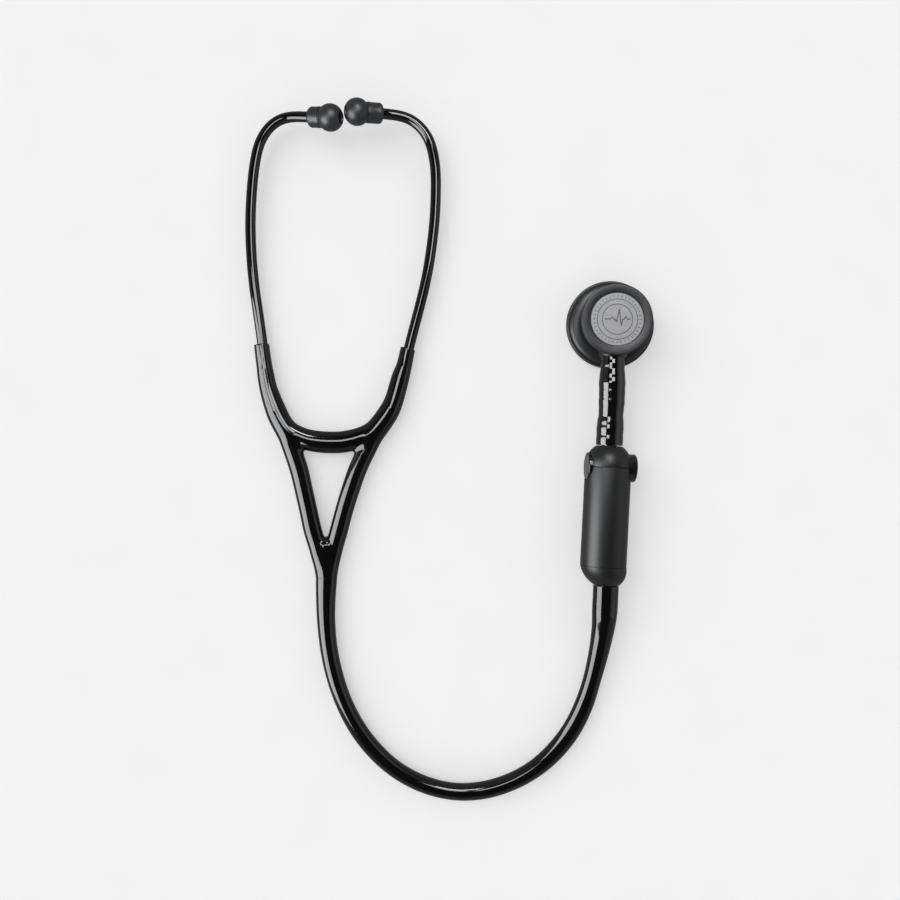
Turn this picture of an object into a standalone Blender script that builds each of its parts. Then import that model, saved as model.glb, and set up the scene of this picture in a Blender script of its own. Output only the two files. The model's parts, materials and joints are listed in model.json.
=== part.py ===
"""Dual-head stethoscope with an in-line amplifier module, as separate named solids.

Frame: metres, +Z up, standing on z = 0.  +Y runs up to the eartips and +X across to the
chestpiece.  The origin is under the middle of the object's box, measured without the free hose.
Sizes below are in millimetres and are scaled by MM where they meet Blender.
"""
import math

import bmesh
import bpy
from mathutils import Matrix, Vector

MM = 0.001
GAP = 0.3                       # clearance kept between neighbouring solids

# Headset: moulded Y tubing, arms and eartubes
TUBING_LEVEL = 4.7              # height of the tubing's centreline
LEG_RADIUS = 4.6
ARM_RADIUS = 4.5
COLLAR_RADIUS = 3.6
CROSSBAR_WIDTH = 10.6
CROSSBAR_HEIGHT = 9.2
KNUCKLE_RADIUS = 6.2
SOCKET_RADIUS = KNUCKLE_RADIUS + GAP
LUMEN_RADIUS = 1.6
NECK_SPREAD = 1.2               # the neck is this much wider than it is high
SPRING_THICKNESS = 0.9
SPRING_HEIGHT = 5.0
LEFT_PIVOT = (-83.8, -46.2)
RIGHT_PIVOT = (-43.0, -46.2)
NECK_END = (-65.5, -118.0)

EARTUBE_RADIUS = 2.75
EARTUBE_WALL = 0.75
EARTIP_BALL_RADIUS = 7.0
EARTIP_SLEEVE_RADIUS = 5.3
EARTIP_LENGTH = 20.2

# Chestpiece: heights are above the table, s is the distance from the head's centre along the stem
HEAD_CENTRE = (85.24, 16.6)
HEAD_TURN = math.radians(-1.0)
STEM_LEVEL = 13.5
ADULT_RIM_RADIUS = 23.15
PAEDIATRIC_RIM_RADIUS = 18.2
PAEDIATRIC_TOP = 25.0
STEM_RADIUS = 3.6
STEM_BORE_RADIUS = STEM_RADIUS + GAP
STEM_END = 38.0
COLLAR_BORE_RADIUS = 6.1
DETENT_PLACE = 5.0              # s of the detent ball

# Module: x is across, y along it towards the chestpiece, z up; its middle is the empty's place
MODULE_CENTRE = (81.4, -84.1)
MODULE_RADIUS = 12.0
MODULE_WALL = 1.6
MODULE_TURN = math.radians(-2.9)
MODULE_ROLL = math.radians(3.0)
DOME_CENTRE = 26.35             # y of both domes' centres, up and down
UPPER_SEAM = 25.2
DOME_FLAT_RADIUS = 6.6
LOWER_OFFSET = 1.95             # the lower barb stands this far to the side
LOWER_BARB_END = 47.8
PAD_RADIUS = 7.3
PAD_PLACE = 25.15
PAD_BACK = 8.2
POWER_FACE = 11.5
VOLUME_FACE = 14.0
ROCKER_PIVOT = 10.5

HOSE_RADIUS = 4.9

UPWARD = (0.0, 1.0, 0.0)        # towards the chestpiece, and away from it
DOWNWARD = (0.0, -1.0, 0.0)

PARTS = "stethoscope"
CUTTERS = "cutters"

FINISHES = {
    "black_pvc": ((0.012, 0.012, 0.014), 0.22, 0.0),
    "black_metal": ((0.010, 0.010, 0.012), 0.18, 0.9),
    "grey_silicone": ((0.075, 0.085, 0.095), 0.55, 0.0),
    "module_plastic": ((0.055, 0.058, 0.060), 0.60, 0.0),
    "pad_plastic": ((0.030, 0.032, 0.036), 0.30, 0.0),
    "smoked_steel": ((0.045, 0.045, 0.050), 0.35, 1.0),
    "bright_steel": ((0.560, 0.560, 0.580), 0.30, 1.0),
    "grey_membrane": ((0.520, 0.520, 0.540), 0.40, 0.0),
    "black_membrane": ((0.020, 0.020, 0.022), 0.45, 0.0),
    "green_board": ((0.020, 0.120, 0.050), 0.50, 0.0),
    "battery_foil": ((0.500, 0.520, 0.560), 0.40, 0.6),
}


# ---------------------------------------------------------------- scene and objects

def clear_scene():
    for item in list(bpy.data.objects):
        bpy.data.objects.remove(item)


def collection(name):
    group = bpy.data.collections.get(name)
    if group is None:
        group = bpy.data.collections.new(name)
        bpy.context.scene.collection.children.link(group)
    return group


def finish(name):
    material = bpy.data.materials.get(name)
    if material is None:
        colour, roughness, metallic = FINISHES[name]
        material = bpy.data.materials.new(name)
        material.use_nodes = True
        shader = material.node_tree.nodes["Principled BSDF"]
        shader.inputs["Base Color"].default_value = (*colour, 1.0)
        shader.inputs["Roughness"].default_value = roughness
        shader.inputs["Metallic"].default_value = metallic
    return material


def add(name, data, look=None, parent=None, place=None):
    """Link an object: a part when it has a look, otherwise a cutter."""
    item = bpy.data.objects.new(name, data)
    item.matrix_local = place or Matrix.Identity(4)
    item.parent = parent
    if look:
        collection(PARTS).objects.link(item)
        data.materials.append(finish(look))
    else:
        collection(CUTTERS).objects.link(item)
        item.hide_render = True
        item.display_type = "WIRE"
    return item


def pivot(name, point, rotation=(0.0, 0.0, 0.0), parent=None):
    """An empty on a joint's axis or at a sub-assembly's centre."""
    item = bpy.data.objects.new(name, None)
    item.location = Vector(point) * MM
    item.rotation_euler = rotation
    item.parent = parent
    collection(PARTS).objects.link(item)
    return item


def along(point, direction):
    """Placement whose local +Z points along direction from point (mm)."""
    turn = Vector(direction).to_track_quat("Z", "Y").to_matrix().to_4x4()
    return Matrix.Translation(Vector(point) * MM) @ turn


def smooth(data, angle=40.0):
    data.shade_smooth()
    data.set_sharp_from_angle(angle=math.radians(angle))


# ---------------------------------------------------------------- shapes

def turned(name, outline, sides, look=None, parent=None, place=None, closed=False):
    """Profile of (radius, height) in mm, outer side from top to bottom, turned about local Z."""
    shape = bmesh.new()
    verts = [shape.verts.new((radius * MM, 0.0, height * MM)) for radius, height in outline]
    for first, second in zip(verts, verts[1:]):
        shape.edges.new((first, second))
    if closed:
        shape.edges.new((verts[-1], verts[0]))
    data = bpy.data.meshes.new(name)
    shape.to_mesh(data)
    shape.free()
    item = add(name, data, look, parent, place)
    screw = item.modifiers.new("turn", "SCREW")
    screw.axis = "Z"
    screw.angle = math.tau
    screw.steps = sides
    screw.render_steps = sides
    screw.use_merge_vertices = True
    screw.merge_threshold = 0.00001
    screw.use_smooth_shade = True
    return item


def block(name, size, look=None, parent=None, place=None, bevel=0.0, segments=2):
    """A box of the given size in mm, its edges rounded by bevel."""
    shape = bmesh.new()
    bmesh.ops.create_cube(shape, size=1.0)
    bmesh.ops.scale(shape, vec=Vector(size) * MM, verts=shape.verts)
    data = bpy.data.meshes.new(name)
    shape.to_mesh(data)
    shape.free()
    item = add(name, data, look, parent, place)
    if bevel:
        rounding = item.modifiers.new("rounding", "BEVEL")
        rounding.width = bevel * MM
        rounding.segments = segments
    return item


def rod(name, radius, length, sides, look=None, parent=None, place=None):
    """A cylinder centred on its placement, along local Z."""
    shape = bmesh.new()
    bmesh.ops.create_cone(shape, cap_ends=True, segments=sides, radius1=radius * MM,
                          radius2=radius * MM, depth=length * MM)
    data = bpy.data.meshes.new(name)
    shape.to_mesh(data)
    shape.free()
    smooth(data)
    return add(name, data, look, parent, place)


def catmull(points, spacing):
    """Points about spacing apart on a smooth curve through the route's own points."""
    route = [Vector(point) for point in points]
    ends = [2 * route[0] - route[1]] + route + [2 * route[-1] - route[-2]]
    line = [route[0]]
    for before, start, stop, after in zip(ends, ends[1:], ends[2:], ends[3:]):
        count = max(1, round((stop - start).length / spacing))
        for index in range(1, count + 1):
            t = index / count
            line.append(0.5 * (2 * start + (stop - before) * t
                               + (2 * before - 5 * start + 4 * stop - after) * t * t
                               + (3 * start - before - 3 * stop + after) * t ** 3))
    return line


def tube(name, points, radius, look=None, parent=None, resolution=3, radii=None, caps=True):
    """A round curve along points (mm); radii, when given, are factors along the curve."""
    data = bpy.data.curves.new(name, "CURVE")
    data.dimensions = "3D"
    data.bevel_depth = radius * MM
    data.bevel_resolution = resolution
    data.use_fill_caps = caps
    data.twist_mode = "MINIMUM"
    spline = data.splines.new("POLY")
    spline.points.add(len(points) - 1)
    for index, point in enumerate(points):
        spline.points[index].co = (*(Vector(point) * MM), 1.0)
        spline.points[index].radius = 1.0 if radii is None else radii[index]
    return add(name, data, look, parent)


def solid_tube(name, points, radius, look=None, parent=None, resolution=3, radii=None, caps=True):
    """The same tube as a mesh, so that it can be cut, joined or stretched."""
    curve = tube(name, points, radius, look, parent, resolution, radii, caps)
    data = bpy.data.meshes.new_from_object(curve.evaluated_get(bpy.context.evaluated_depsgraph_get()))
    data.name = name
    shape = bmesh.new()
    shape.from_mesh(data)
    bmesh.ops.remove_doubles(shape, verts=shape.verts, dist=0.00001)
    bmesh.ops.recalc_face_normals(shape, faces=shape.faces)
    shape.to_mesh(data)
    shape.free()
    smooth(data)
    data.materials.clear()
    bpy.data.objects.remove(curve)
    return add(name, data, look, parent)


def combine(item, other, operation):
    step = item.modifiers.new(operation.lower(), "BOOLEAN")
    step.operation = operation
    step.object = other
    step.solver = "EXACT"


def cut(item, *cutters):
    for cutter in cutters:
        combine(item, cutter, "DIFFERENCE")


def join(item, *others):
    for other in others:
        combine(item, other, "UNION")


def arc(radius, centre, start, stop, count):
    """Points (radius, height) of a dome's outline, angles in degrees up from its equator."""
    angles = [math.radians(start + (stop - start) * step / count) for step in range(count + 1)]
    return [(radius * math.cos(angle), centre + radius * math.sin(angle)) for angle in angles]


# ---------------------------------------------------------------- headset

def level(points, height=TUBING_LEVEL):
    return [(x, y, height) for x, y in points]


def leg_route(side):
    left = [LEFT_PIVOT, (-81.6, -54.0), (-79.2, -62.7), (-76.3, -75.0), (-73.1, -89.0),
            (-70.6, -98.0), (-68.2, -106.0), (-66.4, -113.0)]
    right = [RIGHT_PIVOT, (-45.6, -54.0), (-48.7, -62.7), (-53.0, -75.0), (-56.9, -87.0),
             (-60.2, -97.0), (-62.8, -106.0), (-64.8, -113.0)]
    return level(left if side == "left" else right)


def arm_route(side):
    left = [LEFT_PIVOT, (-86.2, -41.0), (-89.6, -34.0), (-93.8, -24.6), (-96.1, -17.0),
            (-98.1, -6.0), (-99.35, 5.0)]
    right = [RIGHT_PIVOT, (-40.0, -41.2), (-36.0, -35.6), (-31.3, -27.6), (-27.5, -18.0),
             (-24.0, -7.0), (-21.7, 4.5)]
    return level(left if side == "left" else right)


def eartube_route(side):
    left = [(-98.25, -5.5, 4.7), (-99.35, 5.0, 4.7), (-101.7, 22.0, 4.9), (-103.5, 34.6, 5.2),
            (-104.8, 47.2, 5.5), (-105.5, 59.9, 5.8), (-105.6, 72.6, 6.2), (-104.9, 85.3, 6.6),
            (-103.6, 98.0, 7.1), (-101.3, 109.5, 7.7), (-98.5, 115.7, 8.1), (-94.6, 120.8, 8.6),
            (-89.0, 124.2, 9.2), (-82.1, 125.0, 10.2), (-75.0, 124.1, 12.0), (-71.0, 123.5, 13.4)]
    right = [(-24.15, -6.5, 4.7), (-21.7, 4.5, 4.7), (-16.7, 23.7, 4.9), (-13.6, 36.0, 5.2),
             (-11.1, 48.6, 5.5), (-9.3, 61.1, 5.8), (-8.0, 73.8, 6.2), (-7.5, 86.5, 6.6),
             (-7.7, 99.2, 7.1), (-10.0, 111.3, 7.7), (-13.0, 117.2, 8.1), (-17.2, 121.8, 8.6),
             (-22.4, 124.8, 9.2), (-28.4, 125.8, 10.2), (-35.0, 125.8, 12.0), (-39.0, 125.6, 13.4)]
    return left if side == "left" else right


def tip_axis(side):
    """Where the eartip's sleeve starts, and the way the eartip points, rising towards its front."""
    if side == "left":
        return Vector((-75.4, 124.1, 12.0)), Vector((12.7, -1.9, 4.5)).normalized()
    return Vector((-34.6, 125.8, 12.0)), Vector((-12.7, -0.7, 4.5)).normalized()


def neck_mesh():
    """The neck under the legs' junction, wider than it is high."""
    line = [(-65.6, -97.0, 0.0), (-65.7, -103.0, 0.0), (-65.6, -110.0, 0.0), (*NECK_END, 0.0)]
    neck = solid_tube("neck_core", line, LEG_RADIUS, radii=[1.0, 1.0, 0.98, 0.93])
    shape = bmesh.new()
    shape.from_mesh(neck.data)
    bmesh.ops.translate(shape, vec=Vector((-NECK_END[0], 0.0, 0.0)) * MM, verts=shape.verts)
    bmesh.ops.scale(shape, vec=(NECK_SPREAD, 1.0, 1.0), verts=shape.verts)
    bmesh.ops.translate(shape, vec=Vector((NECK_END[0], 0.0, TUBING_LEVEL)) * MM, verts=shape.verts)
    shape.to_mesh(neck.data)
    shape.free()
    return neck


def crossbar_place():
    middle = (Vector(LEFT_PIVOT) + Vector(RIGHT_PIVOT)) / 2
    return Matrix.Translation(Vector((*middle, TUBING_LEVEL)) * MM)


def headset_yoke():
    """Crossbar, two legs and neck, moulded as one, with open sockets for the arms' knuckles."""
    span = RIGHT_PIVOT[0] - LEFT_PIVOT[0]
    yoke = block("headset_yoke", (span, CROSSBAR_WIDTH, CROSSBAR_HEIGHT), "black_pvc",
                 place=crossbar_place(), bevel=3.2, segments=3)
    for side in ("left", "right"):
        join(yoke, solid_tube(side + "_leg_core", catmull(leg_route(side), 9.0), LEG_RADIUS))
    join(yoke, neck_mesh())
    for side, centre in (("left", LEFT_PIVOT), ("right", RIGHT_PIVOT)):
        cut(yoke, rod(side + "_socket", SOCKET_RADIUS, 14.0, 32,
                      place=Matrix.Translation(Vector((*centre, TUBING_LEVEL)) * MM)))
        lumen = catmull(leg_route(side)[:-1], 9.0) + [(*NECK_END, TUBING_LEVEL)]
        lumen.append((NECK_END[0], NECK_END[1] - 3.0, TUBING_LEVEL))
        shift = -1.9 if side == "left" else 1.9
        lumen[-2:] = [Vector(point) + Vector((shift, 0.0, 0.0)) for point in lumen[-2:]]
        cut(yoke, solid_tube(side + "_leg_lumen", lumen, LUMEN_RADIUS, resolution=2))
    cut(yoke, block("spring_slot", (span, SPRING_THICKNESS + 2 * GAP, SPRING_HEIGHT + 2 * GAP),
                    place=crossbar_place()))


def headset_spring():
    """Flat steel strip inside the crossbar."""
    span = RIGHT_PIVOT[0] - LEFT_PIVOT[0] - 2 * SOCKET_RADIUS
    block("headset_spring", (span, SPRING_THICKNESS, SPRING_HEIGHT), "bright_steel",
          place=crossbar_place(), bevel=0.2, segments=1)


def arm_tube(side, joint):
    """One arm: a knuckle in the yoke's socket, the soft tube and its narrow collar."""
    centre = LEFT_PIVOT if side == "left" else RIGHT_PIVOT
    line = catmull(arm_route(side), 6.0)
    collar_start = -6.0
    factors = [COLLAR_RADIUS / ARM_RADIUS if point[1] > collar_start else 1.0 for point in line]
    local = [Vector(point) - Vector((*centre, 0.0)) for point in line]
    arm = rod(side + "_arm_tube", KNUCKLE_RADIUS, 2 * ARM_RADIUS, 32, "black_pvc", joint,
              place=Matrix.Translation((0.0, 0.0, TUBING_LEVEL * MM)))
    join(arm, solid_tube(side + "_arm_core", local, ARM_RADIUS, parent=joint, radii=factors))
    inner = [Vector(point) - Vector((*centre, 0.0)) for point in eartube_route(side)[:2]]
    mouth = inner[1] + (inner[1] - inner[0]) * 0.2
    cut(arm, solid_tube(side + "_eartube_socket", [inner[0], inner[1], mouth],
                        EARTUBE_RADIUS + GAP, parent=joint))
    lumen = local[:-1] + [inner[1]]
    cut(arm, solid_tube(side + "_arm_lumen", lumen, LUMEN_RADIUS, parent=joint, resolution=2))


def eartube(side, joint):
    """Bent metal tube from the arm's collar to the eartip, hollow all the way."""
    centre = Vector((*(LEFT_PIVOT if side == "left" else RIGHT_PIVOT), 0.0))
    line = [point - centre for point in catmull(eartube_route(side), 8.0)]
    line[0] = line[0] + (line[1] - line[0]).normalized() * GAP
    item = solid_tube(side + "_eartube", line, EARTUBE_RADIUS, "black_metal", joint, resolution=2,
                      caps=False)
    wall = item.modifiers.new("wall", "SOLIDIFY")
    wall.thickness = EARTUBE_WALL * MM
    wall.offset = -1.0


def tip_ferrule(side, joint, place):
    """Threaded bush in the eartube's end that the eartip snaps onto."""
    outline = [(1.0, 8.4), (2.3, 8.4), (2.9, 7.6), (2.3, 6.8), (2.3, 5.9), (2.9, 5.1), (2.9, 4.7),
               (1.6, 4.7), (1.6, 1.0), (1.0, 1.0)]
    turned(side + "_tip_ferrule", outline, 14, "bright_steel", joint, place, closed=True)


def eartip(side, joint, place):
    """Soft mushroom tip with a sleeve over the eartube's end."""
    ball, sleeve, front = EARTIP_BALL_RADIUS, EARTIP_SLEEVE_RADIUS, EARTIP_LENGTH
    outline = [(1.9, front - 1.2), (2.5, front - 0.3), (3.3, front), (5.0, front - 1.3),
               (ball - 0.5, front - 3.6), (ball, front - 6.4), (ball - 0.3, front - 9.2),
               (ball - 1.2, front - 11.6), (sleeve, front - 12.6), (sleeve, 1.0), (sleeve - 0.7, 0.0),
               (3.1, 0.0), (3.1, 4.4), (3.3, 4.6), (3.3, 9.0), (1.9, 9.6)]
    turned(side + "_eartip", outline, 22, "grey_silicone", joint, place, closed=True)


def headset():
    headset_yoke()
    headset_spring()
    for side, centre in (("left", LEFT_PIVOT), ("right", RIGHT_PIVOT)):
        joint = pivot(side + "_arm_pivot", (*centre, 0.0))
        arm_tube(side, joint)
        eartube(side, joint)
        start, direction = tip_axis(side)
        place = along(start - Vector((*centre, 0.0)), direction)
        tip_ferrule(side, joint, place)
        eartip(side, joint, place)


# ---------------------------------------------------------------- chestpiece

def on_stem(s, x=0.0, z=0.0, direction=(0.0, -1.0, 0.0)):
    """Placement at distance s from the head's centre, in the head's frame."""
    return along((x, -s, z), direction)


def head_body(head):
    """Hourglass body with a sound chamber on each side, a channel between them and the stem's bore."""
    outline = [(15.4, 22.6), (16.8, 22.6), (16.8, 20.3), (16.4, 19.6), (16.0, 18.2), (12.6, 16.1),
               (10.6, 14.4), (10.4, 12.6), (12.4, 10.2), (16.5, 8.6), (20.6, 7.5), (22.1, 5.9),
               (21.7, 4.9), (21.7, 2.5), (20.2, 2.5), (19.0, 3.2), (1.6, 4.8), (1.6, 20.6),
               (14.8, 22.0)]
    floor = Matrix.Translation((0.0, 0.0, -STEM_LEVEL * MM))
    body = turned("head_body", outline, 32, "smoked_steel", head, floor, closed=True)
    bore_stop = -5.4
    bore_end = 8.0
    mouth = 24.0
    cut(body, rod("stem_bore", STEM_BORE_RADIUS, bore_end + 1.0 - bore_stop, 24, parent=head,
                  place=on_stem((bore_end + 1.0 + bore_stop) / 2)))
    cut(body, rod("collar_bore", COLLAR_BORE_RADIUS, mouth - bore_end, 28, parent=head,
                  place=on_stem((mouth + bore_end) / 2)))
    pocket_end = 8.3
    cut(body, rod("detent_pocket", 1.5, pocket_end, 12, parent=head,
                  place=on_stem(DETENT_PLACE, x=pocket_end / 2, direction=(1.0, 0.0, 0.0))))


def stem():
    """Shaft that the head turns on, with a groove for the detent, a stop flange and a hose barb."""
    outline = [(0.0, STEM_END), (3.2, STEM_END), (4.2, 35.0), (4.2, 28.0), (3.4, 25.5), (3.4, 16.6),
               (4.7, 16.6), (4.7, 14.6), (STEM_RADIUS, 14.6), (STEM_RADIUS, 9.6), (5.4, 9.6),
               (5.4, 8.3), (STEM_RADIUS, 8.3), (STEM_RADIUS, 6.0), (3.0, 5.6), (3.0, 4.4),
               (STEM_RADIUS, 4.0), (STEM_RADIUS, -4.5), (3.1, -5.0), (0.0, -5.0)]
    frame = pivot("stem_axis", (*HEAD_CENTRE, STEM_LEVEL), (0.0, 0.0, HEAD_TURN))
    shaft = turned("stem", outline, 18, "bright_steel", frame, on_stem(0.0))
    airway_start, airway_end = -1.9, 39.0
    cut(shaft, rod("stem_airway", 1.5, airway_end - airway_start, 12, parent=frame,
                   place=on_stem((airway_start + airway_end) / 2)))
    cut(shaft, rod("stem_port", 1.2, 5.0, 12, parent=frame,
                   place=on_stem(0.0, z=-2.9, direction=(0.0, 0.0, -1.0))))


def stem_collar(head):
    """Screwed ring that keeps the stem's shoulder in the head."""
    outer = COLLAR_BORE_RADIUS - GAP
    outline = [(STEM_BORE_RADIUS, 12.7), (outer - 0.5, 12.7), (outer, 12.2), (outer, 9.9),
               (STEM_BORE_RADIUS, 9.9)]
    turned("stem_collar", outline, 24, "smoked_steel", head, on_stem(0.0), closed=True)


def detent(head):
    """Ball pressed into the stem's groove by a small coil spring."""
    shape = bmesh.new()
    bmesh.ops.create_uvsphere(shape, u_segments=12, v_segments=8, radius=1.15 * MM)
    data = bpy.data.meshes.new("detent_ball")
    shape.to_mesh(data)
    shape.free()
    smooth(data, 180.0)
    add("detent_ball", data, "bright_steel", head, on_stem(DETENT_PLACE, x=4.5))
    turns, steps, coil_radius, start, pitch = 3, 10, 0.95, 6.1, 0.55
    line = []
    for index in range(turns * steps + 1):
        angle = math.tau * index / steps
        line.append((start + pitch * index / steps, -DETENT_PLACE + coil_radius * math.cos(angle),
                     coil_radius * math.sin(angle)))
    tube("detent_spring", line, 0.18, "bright_steel", head, resolution=1)


def adult_rim(head):
    """Flexible ring that keeps the large diaphragm; its flat underside is what stands on a table."""
    outline = [(22.4, 4.6), (22.9, 4.5), (ADULT_RIM_RADIUS, 4.0), (ADULT_RIM_RADIUS, 0.6),
               (22.5, 0.0), (20.2, 0.0), (19.9, 0.3), (20.1, 0.8), (22.05, 0.8), (22.05, 4.4)]
    floor = Matrix.Translation((0.0, 0.0, -STEM_LEVEL * MM))
    turned("adult_rim", outline, 40, "smoked_steel", head, floor, closed=True)


def adult_diaphragm(head):
    """Stiff membrane that floats between its rim and the body, its face standing through the rim."""
    outline = [(0.0, 1.8), (21.6, 1.8), (21.6, 1.3), (19.6, 1.3), (19.4, 1.1), (0.0, 1.1)]
    floor = Matrix.Translation((0.0, 0.0, -STEM_LEVEL * MM))
    turned("adult_diaphragm", outline, 36, "black_membrane", head, floor)


def paediatric_rim(head):
    top = PAEDIATRIC_TOP
    outline = [(13.9, top), (17.4, top), (PAEDIATRIC_RIM_RADIUS, top - 0.7),
               (PAEDIATRIC_RIM_RADIUS, 20.6), (17.8, 20.1), (17.15, 20.1), (17.15, top - 0.8),
               (13.7, top - 0.8), (13.7, top - 0.2)]
    floor = Matrix.Translation((0.0, 0.0, -STEM_LEVEL * MM))
    turned("paediatric_rim", outline, 40, "smoked_steel", head, floor, closed=True)


def paediatric_diaphragm(head):
    """Membrane with a raised round face that fills the small rim."""
    outline = [(0.0, 24.7), (13.2, 24.7), (13.35, 24.5), (13.35, 23.8), (16.8, 23.8),
               (16.8, 23.2), (0.0, 23.2)]
    floor = Matrix.Translation((0.0, 0.0, -STEM_LEVEL * MM))
    turned("paediatric_diaphragm", outline, 32, "grey_membrane", head, floor)


def chestpiece():
    head = pivot("head_swivel", (*HEAD_CENTRE, STEM_LEVEL), (0.0, 0.0, HEAD_TURN))
    head_body(head)
    stem_collar(head)
    detent(head)
    adult_rim(head)
    adult_diaphragm(head)
    paediatric_rim(head)
    paediatric_diaphragm(head)
    stem()


# ---------------------------------------------------------------- amplifier module

def pad_openings(module):
    """Round cutters on both sides for the two pads."""
    reach = 8.0
    start = 7.9
    places = ((-1.0, "power_opening"), (1.0, "volume_opening"))
    return [rod(name, PAD_RADIUS + GAP, reach, 28, parent=module,
                place=along((way * (start + reach / 2), PAD_PLACE, 0.0), (way, 0.0, 0.0)))
            for way, name in places]


def module_shell(module, openings):
    """Tubular shell between the two seams, with a slot at the back for the charging port."""
    top, bottom = UPPER_SEAM - GAP / 2, -DOME_CENTRE + GAP / 2
    outer, inner = MODULE_RADIUS, MODULE_RADIUS - MODULE_WALL
    outline = [(inner, top), (outer - 0.2, top), (outer, top - 0.2), (outer, bottom + 0.2),
               (outer - 0.2, bottom), (inner, bottom)]
    shell = turned("module_shell", outline, 30, "module_plastic", module, along((0, 0, 0), UPWARD),
                   closed=True)
    cut(shell, *openings)
    cut(shell, block("port_slot", (9.6, 4.0, 6.0), parent=module, bevel=0.9, segments=2,
                     place=Matrix.Translation((0.0, -16.0 * MM, -12.0 * MM))))


def dome_outline(seam):
    """Dome from its flat at the tube down to the seam, and back up the inside."""
    outer, inner = MODULE_RADIUS, MODULE_RADIUS - MODULE_WALL
    flat_angle = math.degrees(math.acos(DOME_FLAT_RADIUS / outer))
    hole, bevel = 4.3, 0.2
    outside = arc(outer, DOME_CENTRE, flat_angle, 0.0, 5)[:-1]
    edge = [(outer, seam + bevel), (outer - bevel, seam), (inner, seam)]
    inside = arc(inner, DOME_CENTRE, 0.0, 58.0, 4)
    return [(hole, outside[0][1])] + outside + edge + inside + [(hole, inside[-1][1])]


def upper_cap(module, openings):
    cap = turned("module_upper_cap", dome_outline(UPPER_SEAM + GAP / 2), 30, "module_plastic", module,
                 along((0, 0, 0), UPWARD), closed=True)
    cut(cap, *openings)


def lower_cap(module):
    """Dome whose flat is offset sideways, so that the hose leaves beside the module's axis."""
    seam = DOME_CENTRE + GAP / 2
    guide = turned("lower_cap_guide", dome_outline(seam), 30, closed=True)
    view = guide.evaluated_get(bpy.context.evaluated_depsgraph_get())
    data = bpy.data.meshes.new_from_object(view)
    bpy.data.objects.remove(guide)
    rise = math.sqrt(MODULE_RADIUS ** 2 - DOME_FLAT_RADIUS ** 2) - GAP / 2
    for vert in data.vertices:
        vert.co.x += LOWER_OFFSET * (vert.co.z - seam * MM) / rise
    smooth(data)
    add("module_lower_cap", data, "module_plastic", module,
        Matrix.Rotation(math.radians(90.0), 4, "X"))


def barb(name, module, length, place):
    """Hollow barb: a flange inside the cap, a neck through it and a ridge inside the tube."""
    bore = 1.5
    outline = [(bore, length), (3.2, length), (4.3, length - 2.0), (4.3, 38.6), (3.4, 37.4),
               (3.9, 36.7), (3.9, 34.2), (5.6, 34.2), (5.6, 33.2), (bore, 33.2)]
    turned(name, outline, 18, "black_metal", module, place, closed=True)


def pads(module):
    """Power button on one side and volume rocker on the other, each over its own plate."""
    for name, way, face in (("power_button", -1.0, POWER_FACE), ("volume_rocker", 1.0, VOLUME_FACE)):
        joint = pivot(name + "_axis", (way * ROCKER_PIVOT, PAD_PLACE, 0.0), parent=module)
        outline = [(0.0, face), (PAD_RADIUS - 0.5, face), (PAD_RADIUS, face - 0.5),
                   (PAD_RADIUS, PAD_BACK), (0.0, PAD_BACK)]
        turned(name, outline, 28, "pad_plastic", joint,
               along((-way * ROCKER_PIVOT, 0.0, 0.0), (way, 0.0, 0.0)))
    thickness, top = 1.2, 7.2
    plates = (("power_plate", -1.0, (("power_switch", 0.0),)),
              ("volume_plate", 1.0, (("volume_down_switch", -4.0), ("volume_up_switch", 4.0))))
    for name, way, switches in plates:
        plate = rod(name, PAD_RADIUS - 0.4, thickness, 24, "module_plastic", module,
                    place=along((way * (top - thickness / 2), PAD_PLACE, 0.0), (way, 0.0, 0.0)))
        for index, (switch, shift) in enumerate(switches):
            radius = 1.9
            seat = along((way * (top - 0.1), PAD_PLACE + shift, 0.0), (way, 0.0, 0.0))
            cut(plate, rod("%s_seat_%d" % (name, index), radius + GAP, 1.6, 16, parent=module,
                           place=seat))
            outline = [(0.0, 7.5), (0.8, 7.45), (radius, 7.2), (radius, 6.65), (0.0, 6.65)]
            turned(switch, outline, 16, "bright_steel", module,
                   along((0.0, PAD_PLACE + shift, 0.0), (way, 0.0, 0.0)))


def electronics(module):
    """What the amplifier holds: battery, board, microphone, speaker and charging port."""
    rod("battery", 4.6, 30.0, 20, "battery_foil", module, along((0.0, -5.0, 4.6), UPWARD))
    block("circuit_board", (13.0, 42.0, 1.0), "green_board", module,
          Matrix.Translation((0.0, -4.5 * MM, -1.4 * MM)))
    rod("microphone", 2.0, 2.6, 16, "bright_steel", module, along((0.0, 29.5, 0.0), UPWARD))
    rod("speaker", 3.6, 3.0, 20, "bright_steel", module, along((0.0, -29.0, 0.0), DOWNWARD))
    block("charging_port", (9.0, 3.4, 8.6), "bright_steel", module,
          Matrix.Translation((0.0, -16.0 * MM, -7.0 * MM)), bevel=1.2, segments=2)


def lower_seal(module):
    """O-ring just inside the lower seam."""
    major, minor, across = 9.6, 0.45, 6
    turns = [math.tau * step / across for step in range(across)]
    outline = [(major + minor * math.sin(turn), minor * math.cos(turn)) for turn in turns]
    turned("lower_seal", outline, 24, "black_pvc", module, along((0.0, -DOME_CENTRE, 0.0), UPWARD),
           closed=True)


def amplifier():
    module = pivot("module", (*MODULE_CENTRE, MODULE_RADIUS), (0.0, MODULE_ROLL, MODULE_TURN))
    openings = pad_openings(module)
    module_shell(module, openings)
    upper_cap(module, openings)
    lower_cap(module)
    barb("upper_barb", module, 49.0, along((0, 0, 0), UPWARD))
    barb("lower_barb", module, LOWER_BARB_END, along((LOWER_OFFSET, 0, 0), DOWNWARD))
    pads(module)
    electronics(module)
    lower_seal(module)


# ---------------------------------------------------------------- tubes

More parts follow.
